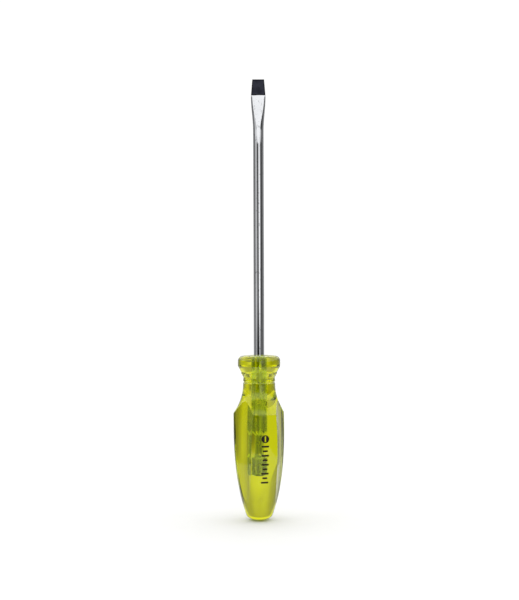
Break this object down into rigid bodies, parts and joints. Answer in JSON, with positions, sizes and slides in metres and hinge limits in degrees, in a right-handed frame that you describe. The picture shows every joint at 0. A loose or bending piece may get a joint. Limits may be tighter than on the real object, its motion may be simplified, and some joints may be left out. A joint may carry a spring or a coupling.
{
  "type": "slotted screwdriver",
  "caption": "Flat-blade screwdriver with a round bright steel shank, a dark flared tip and a clear yellow-green fluted handle.",
  "frame": {"origin": "on the tool's axis at the handle's butt, the lowest point when the tool stands tip up", "axes": "+Z along the tool from the butt to the tip, X across the width of the blade, and the tip's two flats face -Y and +Y"},
  "size_m": [0.0277, 0.0276, 0.24],
  "materials": {
    "blade_steel": "polished",
    "handle_acetate": "gloss"
  },
  "bodies": {
    "root": {"blade": "blade_steel", "handle": "handle_acetate"}
  },
  "joints": []
}
